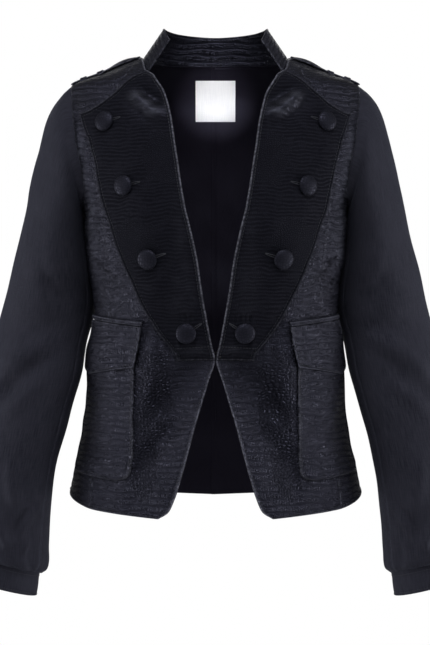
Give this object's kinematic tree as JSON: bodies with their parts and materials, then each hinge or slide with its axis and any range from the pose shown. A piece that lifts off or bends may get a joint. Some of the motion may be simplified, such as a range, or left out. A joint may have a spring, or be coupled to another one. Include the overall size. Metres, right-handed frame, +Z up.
{
  "type": "cropped military-style faux leather jacket",
  "caption": "Cropped jacket in crocodile-embossed faux leather with a stand collar, buttoned front overlays, flap pockets and smooth cloth sleeves, filled out hollow as worn",
  "frame": {"origin": "the middle of the neck base, on the line of the wearer's shoulders, which hold the jacket", "axes": "+Z up; the fronts face -Y; +X is to the right as seen from the front"},
  "size_m": [0.624, 0.2303, 0.7046],
  "materials": {
    "croc_leather": "satin crocodile-embossed faux leather",
    "sleeve_cloth": "smooth fine woven cloth",
    "lining_satin": "satin lining",
    "label_cloth": "woven label, bare",
    "hook_metal": "black hook and eye"
  },
  "bodies": {
    "root": {"front_left": "croc_leather", "side_front_left": "croc_leather", "back_left": "croc_leather", "back_lining_left": "lining_satin", "plastron_left": "croc_leather", "pocket_left": "croc_leather", "flap_left": "croc_leather", "welt_left": "croc_leather", "top_sleeve_left": "sleeve_cloth", "under_sleeve_left": "sleeve_cloth", "cuff_left": "sleeve_cloth", "shoulder_strap_left": "croc_leather", "strap_carrier_left_1": "croc_leather", "strap_carrier_left_2": "croc_leather", "button_left_1": "croc_leather", "button_left_2": "croc_leather", "button_left_3": "croc_leather", "button_left_4": "croc_leather", "front_right": "croc_leather", "side_front_right": "croc_leather", "back_right": "croc_leather", "back_lining_right": "lining_satin", "plastron_right": "croc_leather", "pocket_right": "croc_leather", "flap_right": "croc_leather", "welt_right": "croc_leather", "top_sleeve_right": "sleeve_cloth", "under_sleeve_right": "sleeve_cloth", "cuff_right": "sleeve_cloth", "shoulder_strap_right": "croc_leather", "strap_carrier_right_1": "croc_leather", "strap_carrier_right_2": "croc_leather", "button_right_1": "croc_leather", "button_right_2": "croc_leather", "button_right_3": "croc_leather", "button_right_4": "croc_leather", "collar": "croc_leather", "label": "label_cloth", "front_hook": "hook_metal", "front_eye": "hook_metal"}
  },
  "joints": []
}
